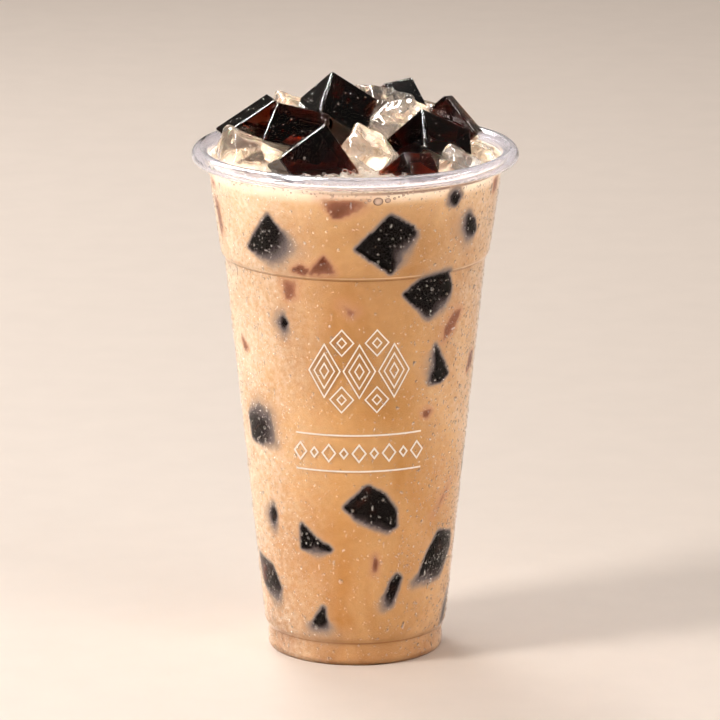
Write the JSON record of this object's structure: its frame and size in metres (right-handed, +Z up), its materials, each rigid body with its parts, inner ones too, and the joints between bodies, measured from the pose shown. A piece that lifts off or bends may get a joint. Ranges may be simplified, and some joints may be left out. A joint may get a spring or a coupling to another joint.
{
  "type": "cup of iced milk tea with jelly",
  "caption": "Clear plastic takeaway cup with a rolled lip, brimful of iced milk tea, with dark jelly cubes and ice heaped over the rim",
  "frame": {"origin": "middle of the underside of the ring that the cup stands on", "axes": "+Z up along the cup's axis, -Y towards the front, +X to the front view's right"},
  "size_m": [0.095, 0.095, 0.1708],
  "materials": {
    "clear_plastic": "clear, smooth, wet with fine drops of condensation",
    "milk_tea": "opaque cloudy liquid with a thin froth",
    "dark_jelly": "smooth wet gel, dark brown where light comes through",
    "ice": "clear melting ice, wet"
  },
  "bodies": {
    "root": {"cup": "clear_plastic", "tea": "milk_tea", "jelly_top": "dark_jelly", "jelly_left": "dark_jelly", "jelly_front": "dark_jelly", "jelly_right": "dark_jelly", "jelly_far_right": "dark_jelly", "jelly_back": "dark_jelly", "jelly_far_left": "dark_jelly", "jelly_front_right": "dark_jelly", "jelly_rear": "dark_jelly", "jelly_rear_left": "dark_jelly", "ice_left": "ice", "ice_back_left": "ice", "ice_front": "ice", "ice_back": "ice", "ice_middle": "ice", "ice_right": "ice", "ice_far_back": "ice", "ice_rear": "ice", "ice_side": "ice"}
  },
  "joints": []
}
